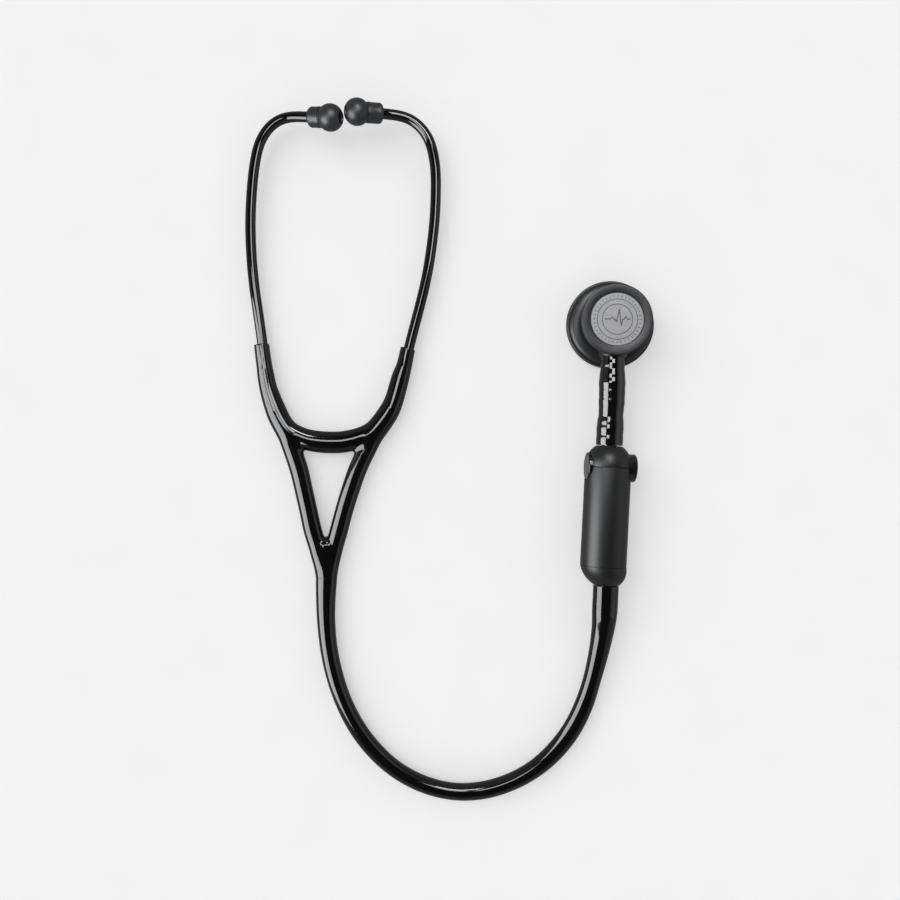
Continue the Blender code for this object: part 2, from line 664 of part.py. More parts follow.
def chestpiece_tube():
    """Short tube stretched over the stem's barb and the module's upper barb."""
    line = [(84.80, -0.3, 13.5), (84.73, -5.0, 13.5), (84.64, -10.0, 13.5), (84.55, -15.0, 13.5),
            (84.44, -21.0, 13.5), (84.28, -26.0, 13.1), (84.08, -31.0, 12.4), (83.84, -36.0, 12.0),
            (83.53, -42.0, 12.0), (83.27, -47.2, 12.0)]
    outer = [5.6, 5.6, 6.0, 6.35, 6.2, 5.95, 6.1, 6.55, 6.55, 6.5]
    item = solid_tube("chestpiece_tube", line, 6.0, "black_pvc", resolution=6,
                      radii=[radius / 6.0 for radius in outer])
    inner = [4.0, 4.0, 4.7, 4.75, 4.7, 3.9, 4.3, 4.85, 4.85, 4.7]
    first = Vector(line[0]) + Vector((0.0, 1.0, 0.0))
    last = Vector(line[-1]) - Vector((0.05, 1.0, 0.0))
    cut(item, solid_tube("chestpiece_tube_bore", [first] + line[1:-1] + [last], 4.0, resolution=4,
                         radii=[radius / 4.0 for radius in inner]))


def main_hose():
    """Free hose: leaves the Y's neck, lies in one wide bend and rises to the module's lower barb."""
    route = [(-65.5, -118.3, 4.9), (-65.8, -125.0, 4.9), (-65.8, -138.5, 4.9), (-64.5, -153.6, 4.9),
             (-61.5, -168.5, 4.9), (-56.6, -183.1, 4.9), (-49.5, -197.0, 4.9), (-40.0, -209.4, 4.9),
             (-28.2, -219.8, 4.9), (-14.0, -227.3, 4.9), (1.3, -231.1, 4.9), (16.4, -230.7, 4.9),
             (30.8, -226.7, 4.9), (43.8, -219.9, 4.9), (55.1, -210.3, 4.9), (64.4, -198.4, 5.0),
             (71.0, -184.9, 5.4), (75.3, -170.6, 6.4), (78.5, -156.0, 8.3), (80.4, -143.0, 10.5),
             (80.8, -137.0, 11.8), (80.95, -133.0, 12.0)]
    tube("main_hose", catmull(route, 11.0), HOSE_RADIUS, "black_pvc")


clear_scene()
headset()
chestpiece()
amplifier()
chestpiece_tube()
main_hose()
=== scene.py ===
"""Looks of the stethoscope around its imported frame: camera, light, fine surfaces and materials.

Sizes are in millimetres and are scaled by MM where they meet Blender.  +Y runs up to the eartips,
+X across to the chestpiece, and the object lies on z = 0.
"""
import json
import math

import bmesh
import bpy
import numpy as np
from mathutils import Matrix, Vector


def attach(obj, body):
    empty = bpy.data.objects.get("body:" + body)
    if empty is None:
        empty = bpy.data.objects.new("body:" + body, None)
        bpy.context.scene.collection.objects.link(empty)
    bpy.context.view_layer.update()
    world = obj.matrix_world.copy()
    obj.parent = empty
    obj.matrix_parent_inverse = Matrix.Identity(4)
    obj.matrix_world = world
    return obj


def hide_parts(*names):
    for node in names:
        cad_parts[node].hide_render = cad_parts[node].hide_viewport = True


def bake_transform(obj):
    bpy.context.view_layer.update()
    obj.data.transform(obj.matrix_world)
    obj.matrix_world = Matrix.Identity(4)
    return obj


MM = 0.001

# Headset tubing
TUBING_LEVEL = 4.7
TUBING_HEIGHT = 4.55            # half of the tubing's height
CROWN = 0.3                     # a thin limb stands this much higher than it is wide
NECK_END = (-65.5, -118.0)
COLLAR_END = {"left": 6.0, "right": 3.9}
EARTUBE_RADIUS = 2.75
MIDDLE = -63.4                  # x of the plane between the headset's halves

# Eartips
BALL_RADIUS = 7.0
SLEEVE_RADIUS = 5.3
TIP_LENGTH = 20.2
SLEEVE_START = {"left": 2.4, "right": 1.0}      # above the tip's base

# Chestpiece, heights above the table
STEM_LEVEL = 13.5
ADULT_RIM_RADIUS = 23.15
SMALL_RIM_RADIUS = 18.2
SMALL_RIM_TOP = 25.0
DISC_TOP = 24.7
PRINT_TOP = DISC_TOP + 0.03
PRINT_DEPTH = 0.05
DISC_RADIUS = 13.5

# Module
MODULE_RADIUS = 12.0
MODULE_WALL = 1.6
DOME_CENTRE = 26.35
UPPER_SEAM = 25.2
DOME_FLAT_RADIUS = 6.6
LOWER_OFFSET = 1.95             # how far the lower dome leans towards the volume pad
SEAM_GAP = 0.12                 # half of the gap between shell and dome
SEAM_BEVEL = 0.16
PAD_RADIUS = 7.3
PAD_PLACE = 25.15
PAD_BACK = 8.2
POWER_PAD_FACE = 11.5
VOLUME_PAD_FACE = 14.0
ROCKER_PIVOT = 10.5

# Camera and stage
CAMERA_PLACE = (0.0, -0.050, 0.490)     # in metres, like the lamps
CAMERA_LENS = 36.57
CAMERA_SENSOR = 36.0
TABLE_REACH = 4000.0
BACKDROP_RADIUS = 3900.0
BACKDROP_TOP = 3000.0

# Noise runs mostly between these two values
NOISE_LOW, NOISE_HIGH = 0.3, 0.7


# ---------------------------------------------------------------- meshes

def mesh_object(name, verts, faces, place=None):
    """Mesh from points in mm."""
    data = bpy.data.meshes.new(name)
    data.from_pydata([tuple(float(c) * MM for c in vert) for vert in verts], [], faces)
    data.update()
    item = bpy.data.objects.new(name, data)
    if place is not None:
        item.matrix_world = place
    bpy.context.scene.collection.objects.link(item)
    return item


def smooth(item, angle=35.0):
    item.data.shade_smooth()
    item.data.set_sharp_from_angle(angle=math.radians(angle))
    return item


def along(point, direction):
    """Placement whose local +Z points along direction from point (mm)."""
    turn = Vector(direction).to_track_quat("Z", "Y").to_matrix().to_4x4()
    return Matrix.Translation(Vector(point) * MM) @ turn


def arc(radius, centre, start, stop, count):
    """Points (r, z) around centre (r, z), angles in degrees up from the outward direction."""
    angles = [math.radians(start + (stop - start) * step / count) for step in range(count + 1)]
    return [(centre[0] + radius * math.cos(angle), centre[1] + radius * math.sin(angle))
            for angle in angles]


def turned(name, outline, place=None, sides=128, closed=False):
    """Profile of (radius, height) turned about local Z; ends on the axis are closed with a fan."""
    verts, rings = [], []
    for radius, height in outline:
        if radius < 0.001:
            rings.append([len(verts)] * sides)
            verts.append((0.0, 0.0, height))
            continue
        rings.append(list(range(len(verts), len(verts) + sides)))
        for step in range(sides):
            angle = math.tau * step / sides
            verts.append((radius * math.cos(angle), radius * math.sin(angle), height))
    pairs = list(zip(rings, rings[1:]))
    if closed:
        pairs.append((rings[-1], rings[0]))
    faces = []
    for upper, lower in pairs:
        for step in range(sides):
            after = (step + 1) % sides
            corners = [upper[step], lower[step], lower[after], upper[after]]
            face = [corner for index, corner in enumerate(corners) if corner not in corners[:index]]
            if len(face) > 2:
                faces.append(face)
    return smooth(mesh_object(name, verts, faces, place))


def spline(route, spacing, rounds=20):
    """Evenly smooth points about spacing apart through the route (mm)."""
    points = np.array(route, float)
    ends = np.vstack([2 * points[0] - points[1], points, 2 * points[-1] - points[-2]])
    line = [points[0]]
    for before, start, stop, after in zip(ends, ends[1:], ends[2:], ends[3:]):
        count = max(1, round(float(np.linalg.norm(stop - start)) / spacing))
        for index in range(1, count + 1):
            t = index / count
            line.append(0.5 * (2 * start + (stop - before) * t
                               + (2 * before - 5 * start + 4 * stop - after) * t * t
                               + (3 * start - before - 3 * stop + after) * t ** 3))
    line = np.array(line)
    for _ in range(rounds):
        line[1:-1] = 0.25 * line[:-2] + 0.5 * line[1:-1] + 0.25 * line[2:]
    return line


def distances(line):
    """Length of the line up to each of its points."""
    steps = np.linalg.norm(np.diff(line, axis=0), axis=1)
    return np.concatenate([[0.0], np.cumsum(steps)])


def sweep(name, line, half_width, half_height, sides=48):
    """Closed tube of oval sections along a line that stays nearly level.

    half_width lies across the line in the table's plane, half_height stands up from it.
    """
    tangents = np.gradient(line, axis=0)
    tangents /= np.linalg.norm(tangents, axis=1)[:, None]
    across = np.cross(tangents, (0.0, 0.0, 1.0))
    across /= np.linalg.norm(across, axis=1)[:, None]
    upward = np.cross(across, tangents)
    angles = np.arange(sides) * math.tau / sides
    verts = []
    for index, centre in enumerate(line):
        verts.extend(centre + np.outer(np.cos(angles) * half_width[index], across[index])
                     + np.outer(np.sin(angles) * half_height[index], upward[index]))
    faces = []
    for ring in range(len(line) - 1):
        base = ring * sides
        for step in range(sides):
            after = (step + 1) % sides
            faces.append((base + step, base + sides + step, base + sides + after, base + after))
    faces.append(tuple(range(sides)))
    last = (len(line) - 1) * sides
    faces.append(tuple(range(last + sides - 1, last - 1, -1)))
    return smooth(mesh_object(name, verts, faces), 50.0)


def resample(values, line, route):
    """Values given at the route's points, spread smoothly along the line's points."""
    marks = []
    for point in np.array(route, float):
        marks.append(int(np.argmin(np.linalg.norm(line - point, axis=1))))
    reach = distances(line)
    spread = np.interp(reach, reach[marks], values)
    for _ in range(12):
        spread[1:-1] = 0.25 * spread[:-2] + 0.5 * spread[1:-1] + 0.25 * spread[2:]
    return spread


def cut(item, *cutters):
    """Subtract cutters from a mesh and apply the result."""
    for cutter in cutters:
        step = item.modifiers.new("cut", "BOOLEAN")
        step.operation = "DIFFERENCE"
        step.object = cutter
        step.solver = "EXACT"
    view = item.evaluated_get(bpy.context.evaluated_depsgraph_get())
    data = bpy.data.meshes.new_from_object(view)
    item.modifiers.clear()
    item.data = data
    for cutter in cutters:
        bpy.data.objects.remove(cutter)
    smooth(item)


# ---------------------------------------------------------------- materials

class Look:
    """A Principled material with helpers for its procedural detail."""

    def __init__(self, name, roughness, **sockets):
        self.material = bpy.data.materials.new(name)
        self.material.use_nodes = True
        self.tree = self.material.node_tree
        self.shader = self.tree.nodes["Principled BSDF"]
        self.shader.inputs["Roughness"].default_value = roughness
        for socket, value in sockets.items():
            self.shader.inputs[socket.replace("_", " ")].default_value = value
        self.place = self.node("ShaderNodeTexCoord").outputs["Object"]
        self.normal = None

    def node(self, kind, **values):
        item = self.tree.nodes.new(kind)
        for name, value in values.items():
            setattr(item, name, value)
        return item

    def link(self, source, target):
        self.tree.links.new(source, target)

    def noise(self, size, detail=3.0):
        """Noise whose features are about size mm across."""
        texture = self.node("ShaderNodeTexNoise")
        self.link(self.place, texture.inputs["Vector"])
        texture.inputs["Scale"].default_value = 1.0 / (size * MM)
        texture.inputs["Detail"].default_value = detail
        return texture.outputs["Fac"]

    def rings(self, size):
        """Fine grooves around local Z, about size mm apart."""
        flat = self.node("ShaderNodeMapping")
        self.link(self.place, flat.inputs["Vector"])
        flat.inputs["Scale"].default_value = (1.0, 1.0, 0.0)
        length = self.node("ShaderNodeVectorMath", operation="LENGTH")
        self.link(flat.outputs["Vector"], length.inputs[0])
        texture = self.node("ShaderNodeTexNoise", noise_dimensions="1D")
        self.link(length.outputs["Value"], texture.inputs["W"])
        texture.inputs["Scale"].default_value = 1.0 / (size * MM)
        texture.inputs["Detail"].default_value = 2.0
        return texture.outputs["Fac"]

    def colours(self, value, dark, light, start=NOISE_LOW, stop=NOISE_HIGH):
        """Base colour that runs from dark to light as value goes from start to stop."""
        ramp = self.node("ShaderNodeValToRGB")
        self.link(value, ramp.inputs["Fac"])
        ramp.color_ramp.elements[0].position = start
        ramp.color_ramp.elements[0].color = (*dark, 1.0)
        ramp.color_ramp.elements[1].position = stop
        ramp.color_ramp.elements[1].color = (*light, 1.0)
        self.link(ramp.outputs["Color"], self.shader.inputs["Base Color"])

    def rough(self, value, low, high):
        """Roughness that follows value from low to high."""
        mapped = self.node("ShaderNodeMapRange")
        self.link(value, mapped.inputs["Value"])
        mapped.inputs["From Min"].default_value = NOISE_LOW
        mapped.inputs["From Max"].default_value = NOISE_HIGH
        mapped.inputs["To Min"].default_value = low
        mapped.inputs["To Max"].default_value = high
        self.link(mapped.outputs["Result"], self.shader.inputs["Roughness"])

    def glow(self, strength):
        """White light that the surface gives off by itself."""
        self.shader.inputs["Emission Color"].default_value = (1.0, 1.0, 1.0, 1.0)
        self.shader.inputs["Emission Strength"].default_value = strength

    def bump(self, value, depth, strength=1.0):
        """Add relief of about depth mm to the surface."""
        node = self.node("ShaderNodeBump")
        self.link(value, node.inputs["Height"])
        node.inputs["Distance"].default_value = depth * MM
        node.inputs["Strength"].default_value = strength
        if self.normal is not None:
            self.link(self.normal, node.inputs["Normal"])
        self.normal = node.outputs["Normal"]
        self.link(self.normal, self.shader.inputs["Normal"])


def black_pvc():
    """Glossy moulded PVC: nearly black, with the slow ripple and fine haze of a dipped skin."""
    look = Look("black_pvc", 0.08)
    look.colours(look.noise(9.0), (0.0020, 0.0020, 0.0022), (0.0040, 0.0040, 0.0044))
    look.rough(look.noise(1.6, 5.0), 0.05, 0.11)
    look.bump(look.noise(9.0, 1.0), 0.10, 0.5)
    look.bump(look.noise(0.5, 2.0), 0.002, 0.5)
    return look.material


def stretched_pvc():
    """The same PVC where it is stretched over barbs: smoother and a little brighter."""
    look = Look("stretched_pvc", 0.06, Specular_IOR_Level=0.72)
    look.colours(look.noise(9.0), (0.0020, 0.0020, 0.0022), (0.0040, 0.0040, 0.0044))
    look.rough(look.noise(1.6, 5.0), 0.04, 0.09)
    look.bump(look.noise(7.0, 1.0), 0.12, 0.5)
    look.bump(look.noise(0.5, 2.0), 0.002, 0.5)
    return look.material


def black_metal():
    """Gloss black plated tube."""
    look = Look("black_metal", 0.07)
    look.colours(look.noise(20.0), (0.002, 0.002, 0.002), (0.005, 0.005, 0.005))
    look.rough(look.noise(2.0, 4.0), 0.03, 0.07)
    look.bump(look.noise(0.8, 2.0), 0.003, 0.4)
    return look.material


def grey_silicone():
    """Satin slate-blue silicone with a fine moulded skin."""
    look = Look("grey_silicone", 0.40)
    look.colours(look.noise(3.0, 4.0), (0.015, 0.020, 0.029), (0.022, 0.029, 0.040))
    look.rough(look.noise(0.8, 4.0), 0.36, 0.46)
    look.bump(look.noise(0.18, 2.0), 0.008, 0.5)
    return look.material


def module_plastic():
    """Soft-touch coated plastic: matt dark grey with a very fine grain."""
    look = Look("module_plastic", 0.5, Specular_IOR_Level=0.40)
    look.colours(look.noise(4.0, 4.0), (0.008, 0.0085, 0.009), (0.0115, 0.012, 0.0125))
    look.rough(look.noise(0.6, 3.0), 0.36, 0.44)
    look.bump(look.noise(0.16, 2.0), 0.010, 0.5)
    return look.material


def pad_plastic():
    """Polished black wall of the pads."""
    look = Look("pad_plastic", 0.16)
    look.colours(look.noise(3.0), (0.006, 0.006, 0.007), (0.011, 0.011, 0.012))
    look.rough(look.noise(0.8, 4.0), 0.12, 0.22)
    look.bump(look.noise(0.5, 2.0), 0.004, 0.5)
    return look.material


def pad_rubber():
    """Matt rubber face of the pads."""
    look = Look("pad_rubber", 0.62)
    look.colours(look.noise(2.0, 4.0), (0.085, 0.088, 0.090), (0.115, 0.118, 0.120))
    look.rough(look.noise(0.5, 3.0), 0.55, 0.68)
    look.bump(look.noise(0.20, 2.0), 0.015, 0.6)
    return look.material


def smoked_steel():
    """Charcoal coated steel, finely turned: grooves run around the axis."""
    look = Look("smoked_steel", 0.36, Metallic=0.25, Specular_IOR_Level=0.32)
    look.colours(look.rings(0.30), (0.020, 0.0205, 0.0215), (0.042, 0.043, 0.045))
    look.rough(look.noise(1.2, 4.0), 0.30, 0.40)
    look.bump(look.rings(0.22), 0.014, 0.7)
    return look.material


def bright_steel():
    """Polished steel with turning marks."""
    look = Look("bright_steel", 0.16, Metallic=1.0)
    look.colours(look.noise(2.0, 4.0), (0.46, 0.46, 0.47), (0.58, 0.58, 0.59))
    look.rough(look.noise(0.7, 4.0), 0.12, 0.24)
    look.bump(look.rings(0.20), 0.004, 0.5)
    return look.material


def grey_membrane():
    """Light grey satin membrane with a pearly mottle."""
    look = Look("grey_membrane", 0.38)
    look.colours(look.noise(1.1, 6.0), (0.40, 0.40, 0.415), (0.52, 0.52, 0.535))
    look.rough(look.noise(0.7, 4.0), 0.32, 0.46)
    look.bump(look.noise(0.30, 3.0), 0.010, 0.5)
    return look.material


def membrane_print():
    """Grey ink."""
    look = Look("membrane_print", 0.5)
    look.colours(look.noise(0.5), (0.060, 0.060, 0.065), (0.095, 0.095, 0.10))
    return look.material


def black_membrane():
    """Dark satin membrane of the adult side."""
    look = Look("black_membrane", 0.42)
    look.colours(look.noise(1.5, 4.0), (0.014, 0.014, 0.015), (0.024, 0.024, 0.026))
    look.rough(look.noise(0.6, 4.0), 0.36, 0.50)
    look.bump(look.noise(0.25, 3.0), 0.010, 0.5)
    return look.material


def green_board():
    """Circuit board lacquer with darker tracks."""
    look = Look("green_board", 0.45)
    look.colours(look.noise(1.2, 2.0), (0.012, 0.09, 0.035), (0.025, 0.16, 0.06), 0.45, 0.55)
    return look.material


def battery_foil():
    """Crinkled silver foil."""
    look = Look("battery_foil", 0.35, Metallic=0.8)
    look.colours(look.noise(3.0, 4.0), (0.42, 0.44, 0.48), (0.55, 0.57, 0.60))
    look.bump(look.noise(1.0, 3.0), 0.03, 0.5)
    return look.material


def table_paper():
    """White seamless paper, brightened so that the shadows on it stay light."""
    look = Look("table_paper", 0.9, Specular_IOR_Level=0.0)
    look.colours(look.noise(30.0, 5.0), (0.80, 0.80, 0.80), (0.83, 0.83, 0.83))
    look.glow(0.40)
    return look.material


def studio_wall():
    """Pale wall behind the table, seen only from low angles."""
    look = Look("studio_wall", 1.0)
    look.colours(look.noise(400.0, 3.0), (0.0, 0.0, 0.0), (0.01, 0.01, 0.01))
    look.glow(0.80)
    return look.material


def dress(item, name):
    """Give an object one of the fine materials."""
    item.data.materials.clear()
    item.data.materials.append(LOOKS[name])


def finish_piece(item, look, slot, body, *nodes):
    """Material, body and replaced nodes of a piece that is in place; the slot argument is not used."""
    dress(item, look)
    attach(item, body)
    if nodes:
        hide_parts(*nodes)


# ---------------------------------------------------------------- camera and light

def camera():
    """Camera above the table, looking straight down."""
    data = bpy.data.cameras.new("camera")
    data.lens = CAMERA_LENS
    data.sensor_width = CAMERA_SENSOR
    data.clip_start = 0.01
    item = bpy.data.objects.new("camera", data)
    item.location = CAMERA_PLACE
    bpy.context.scene.collection.objects.link(item)
    bpy.context.scene.camera = item


def panel(name, place, aim, size, radiance):
    """Soft box at place (m) facing aim, as bright as radiance; it shows only in reflections."""
    data = bpy.data.lights.new(name, "AREA")
    data.shape = "RECTANGLE"
    data.size, data.size_y = size
    data.energy = radiance * math.pi * size[0] * size[1]
    data.color = (0.96, 0.98, 1.0)
    item = bpy.data.objects.new(name, data)
    way = Vector(aim) - Vector(place)
    item.matrix_world = Matrix.Translation(place) @ way.to_track_quat("-Z", "Y").to_matrix().to_4x4()
    item.visible_camera = False
    item.visible_diffuse = False
    bpy.context.scene.collection.objects.link(item)


def sun(name, direction, spread, strength):
    """Even light on everything, coming from direction; it casts soft shadows and no reflections."""
    data = bpy.data.lights.new(name, "SUN")
    data.angle = math.radians(spread)
    data.energy = strength
    item = bpy.data.objects.new(name, data)
    item.matrix_world = (-Vector(direction)).to_track_quat("-Z", "Y").to_matrix().to_4x4()
    item.visible_glossy = False
    bpy.context.scene.collection.objects.link(item)


def surroundings():
    """Grey walls and a dark ceiling, which the glossy pieces reflect."""
    world = bpy.data.worlds.new("studio")
    bpy.context.scene.world = world
    world.use_nodes = True
    tree = world.node_tree
    backdrop = tree.nodes["Background"]
    direction = tree.nodes.new("ShaderNodeTexCoord")
    parts = tree.nodes.new("ShaderNodeSeparateXYZ")
    ramp = tree.nodes.new("ShaderNodeValToRGB")
    tree.links.new(direction.outputs["Generated"], parts.inputs["Vector"])
    tree.links.new(parts.outputs["Z"], ramp.inputs["Fac"])
    tree.links.new(ramp.outputs["Color"], backdrop.inputs["Color"])
    wall, ceiling = ramp.color_ramp.elements
    wall.position, wall.color = 0.50, (0.34, 0.34, 0.35, 1.0)
    ceiling.position, ceiling.color = 0.66, (0.05, 0.05, 0.052, 1.0)


def light():
    """Soft boxes that draw the highlights, and two suns for the light that falls on the table."""
    surroundings()
    panel("left_softbox", (-0.40, -0.20, 0.225), (-0.14, -0.20, 0.0), (0.48, 0.44), 9.0)
    panel("top_left_strip", (-0.14, 0.07, 0.52), (-0.14, 0.07, 0.0), (0.22, 0.11), 9.5)
    panel("top_right_strip", (0.10, 0.17, 0.52), (0.10, 0.17, 0.0), (0.20, 0.14), 10.0)
    panel("back_strip", (0.05, 0.33, 0.47), (0.0, -0.05, 0.0), (0.30, 0.08), 24.0)
    panel("right_wall", (0.38, -0.05, 0.17), (0.08, -0.05, 0.0), (0.5, 0.30), 0.4)
    sun("key", (-0.55, 0.35, 0.75), 50.0, 0.69)
    sun("fill", (0.0, 0.0, 1.0), 150.0, 0.93)


def table():
    """White table, and a pale wall far behind it."""
    reach = TABLE_REACH
    corners = [(-reach, -reach, 0), (reach, -reach, 0), (reach, reach, 0), (-reach, reach, 0)]
    item = mesh_object("table", corners, [(0, 1, 2, 3)])
    dress(item, "table_paper")
    item.visible_glossy = False
    wall = [(BACKDROP_RADIUS, BACKDROP_TOP), (BACKDROP_RADIUS, -10)]
    backdrop = turned("backdrop", wall, sides=64)
    backdrop.visible_glossy = False
    backdrop.visible_diffuse = False
    backdrop.visible_shadow = False
    dress(backdrop, "studio_wall")


# ---------------------------------------------------------------- hose

HOSE_ROUTE = [(-65.5, -118.3, 4.9), (-65.8, -125.0, 4.9), (-65.8, -138.5, 4.9), (-64.5, -153.6, 4.9),
              (-61.5, -168.5, 4.9), (-56.6, -183.1, 4.9), (-49.5, -197.0, 4.9), (-40.0, -209.4, 4.9),
              (-28.2, -219.8, 4.9), (-14.0, -227.3, 4.9), (1.3, -231.1, 4.9), (16.4, -230.7, 4.9),
              (30.8, -226.7, 4.9), (43.8, -219.9, 4.9), (55.1, -210.3, 4.9), (64.4, -198.4, 5.0),
              (71.0, -184.9, 5.4), (75.3, -170.6, 6.4), (78.5, -156.0, 8.3), (80.4, -143.0, 10.5),
              (80.8, -137.0, 11.8), (80.95, -133.0, 12.0), (81.3, -127.0, 12.0), (81.5, -120.9, 12.0)]
# Half sizes: one inside the neck, then one at each point of the route
HOSE_HALF_WIDTH = [5.6, 5.72, 5.35, 4.83, 4.62, 4.62, 4.5, 4.55, 4.5, 4.35, 4.35, 4.35, 4.5, 4.5, 4.6,
                   4.92, 5.0, 4.95, 4.7, 5.3, 6.07, 6.57, 6.77, 6.6, 6.68]
HOSE_HALF_HEIGHT = [4.4, 4.62, 4.65, 4.75, 4.85, 4.85, 4.85, 4.85, 4.85, 4.85, 4.85, 4.85, 4.85, 4.8,
                    4.75, 4.7, 4.7, 4.7, 4.75, 4.9, 5.6, 6.2, 6.4, 6.3, 6.2]


def hose():
    """The free hose: it leaves the neck, turns in one wide bend and is pushed over the lower barb."""
    inside_neck = (NECK_END[0] + 0.1, NECK_END[1] + 5.0, TUBING_LEVEL)
    route = [inside_neck] + HOSE_ROUTE
    line = spline(route, 1.5, 6)
    width = resample(HOSE_HALF_WIDTH, line, route)
    height = resample(HOSE_HALF_HEIGHT, line, route)
    item = sweep("hose", line, width, height)
    finish_piece(item, "black_pvc", "black_pvc", "tubing_and_module", "main_hose")


# ---------------------------------------------------------------- headset tubing

ARM_LEG_ROUTES = {
    "left": [(-100.2, 9.0), (-99.7, 3.5), (-99.1, -1.2), (-98.4, -6.0), (-97.7, -10.5), (-96.7, -16.0),
             (-94.2, -23.4), (-90.4, -32.0), (-85.6, -44.5), (-80.4, -59.5), (-77.6, -71.2),
             (-75.2, -81.9), (-72.9, -92.5), (-70.6, -100.0), (-68.8, -107.0), (-67.5, -112.5),
             (-66.4, -120.0)],
    "right": [(-21.0, 9.0), (-22.4, 3.5), (-23.4, -1.2), (-24.5, -6.0), (-26.0, -10.5), (-27.5, -16.0),
              (-30.5, -25.5), (-36.5, -35.2), (-42.5, -46.6), (-48.7, -59.5), (-52.8, -71.2),
              (-56.1, -81.9), (-58.9, -92.5), (-61.0, -100.0), (-62.6, -107.0), (-63.6, -112.5),
              (-64.6, -120.0)]}
ARM_LEG_RADII = {
    "left": [4.0, 4.0, 4.1, 4.15, 4.5, 4.6, 4.9, 4.9, 4.9, 4.95, 4.8, 4.8, 4.85, 4.8, 4.7, 4.3, 3.6],
    "right": [3.95, 3.95, 4.0, 4.2, 4.8, 4.95, 5.0, 4.95, 4.9, 4.95, 4.9, 4.8, 4.85, 4.8, 4.7, 4.3, 3.6]}
CROSSBAR_ROUTE = [(-98.4, -8.0), (-96.9, -19.0), (-92.6, -31.0), (-87.0, -38.6), (-78.4, -43.7),
                  (-70.0, -45.6), (-61.4, -46.0), (-55.1, -45.5), (-45.6, -42.8), (-37.6, -37.4),
                  (-31.5, -29.3), (-28.0, -18.5), (-25.4, -8.0)]
CROSSBAR_RADII = [0.6, 2.6, 4.5, 5.2, 5.6, 5.8, 5.8, 5.8, 5.6, 5.2, 4.5, 2.6, 0.6]
NECK_ROUTE = [(-65.5, -101.0), (-65.6, -106.0), (-65.6, -112.0), (-65.5, -118.2)]
NECK_RADII = [4.8, 5.9, 5.95, 5.45]
FILLET = 2.4                    # how softly neighbouring tubes flow into each other
NECK_FILLET = 1.2
COLLAR_EDGE = 0.5
NECK_EDGE = 0.04


class Limb:
    """A tube of the moulding: how far a point lies outside it, for points in mm."""

    def __init__(self, route, radii):
        self.line = spline(route, 0.6, 16)
        self.radius = resample(radii, self.line, route)
        self.tangent = np.gradient(self.line, axis=0)
        self.tangent /= np.linalg.norm(self.tangent, axis=1)[:, None]
        self.start = None

    def follow(self, points, block=4000):
        """Find each point's place along the tube, before the points move a little."""
        flat = points[:, :2]
        self.start = np.concatenate([
            np.argmin(((flat[first:first + block, None, :] - self.line) ** 2).sum(axis=2), axis=1)
            for first in range(0, len(flat), block)])

    def outside(self, points):
        """Signed distance, in mm, of each point from the limb's skin."""
        flat = points[:, :2]
        last = len(self.line) - 1
        around = np.clip(self.start[:, None] + np.arange(-2, 3), 0, last)
        gaps = ((flat[:, None, :] - self.line[around]) ** 2).sum(axis=2)
        near = around[np.arange(len(flat)), np.argmin(gaps, axis=1)]
        ahead = ((flat - self.line[near]) * self.tangent[near]).sum(axis=1)
        after = np.clip(near + np.sign(ahead).astype(int), 0, last)
        step = np.linalg.norm(self.line[after] - self.line[near], axis=1)
        share = np.clip(np.abs(ahead) / np.maximum(step, 1e-6), 0.0, 1.0) * (step > 0.0)
        share = share[:, None]
        centre = self.line[near] * (1.0 - share) + self.line[after] * share
        tangent = self.tangent[near] * (1.0 - share) + self.tangent[after] * share
        offset = flat - centre
        along_line = (offset * tangent).sum(axis=1)
        inner = (near > 0) & (near < last)
        across = (offset ** 2).sum(axis=1) - np.where(inner, along_line ** 2, 0.0)
        radius = self.radius[near] * (1.0 - share[:, 0]) + self.radius[after] * share[:, 0]
        rise = points[:, 2] - TUBING_LEVEL
        height = np.minimum(TUBING_HEIGHT, radius + CROWN)
        scaled = np.sqrt(np.maximum(across, 0.0) / radius ** 2 + (rise / height) ** 2)
        return (scaled - 1.0) * np.minimum(radius, height)


def softly(first, second, reach, sign=1.0):
    """Smooth minimum (or maximum, with sign -1) of two distance fields."""
    blend = np.clip(0.5 + 0.5 * sign * (second - first) / reach, 0.0, 1.0)
    return second * (1.0 - blend) + first * blend - sign * reach * blend * (1.0 - blend)


def collar_cut(points, side):
    """How far a point lies beyond the collar's square end."""
    line = np.array(ARM_LEG_ROUTES[side][:2], float)
    way = (line[0] - line[1]) / np.linalg.norm(line[0] - line[1])
    end = line[1] + way * (COLLAR_END[side] - line[1][1])
    return (points[:, :2] - end) @ way


def moulding(points, limbs):
    """Signed distance, in mm, of each point from the whole moulding's skin."""
    left, right, crossbar, neck = [limb.outside(points) for limb in limbs]
    legs = softly(left, right, FILLET)
    field = softly(softly(legs, neck, NECK_FILLET), crossbar, FILLET)
    field = softly(field, collar_cut(points, "left"), COLLAR_EDGE, -1.0)
    field = softly(field, collar_cut(points, "right"), COLLAR_EDGE, -1.0)
    return softly(field, NECK_END[1] - points[:, 1], NECK_EDGE, -1.0)


def slope(points, limbs, step=0.05):
    """Gradient of the moulding's field, which is its surface normal."""
    result = np.zeros_like(points)
    for corner in ((1, -1, -1), (-1, -1, 1), (-1, 1, -1), (1, 1, 1)):
        corner = np.array(corner, float)
        result += moulding(points + corner * step, limbs)[:, None] * corner
    return result / np.linalg.norm(result, axis=1)[:, None]


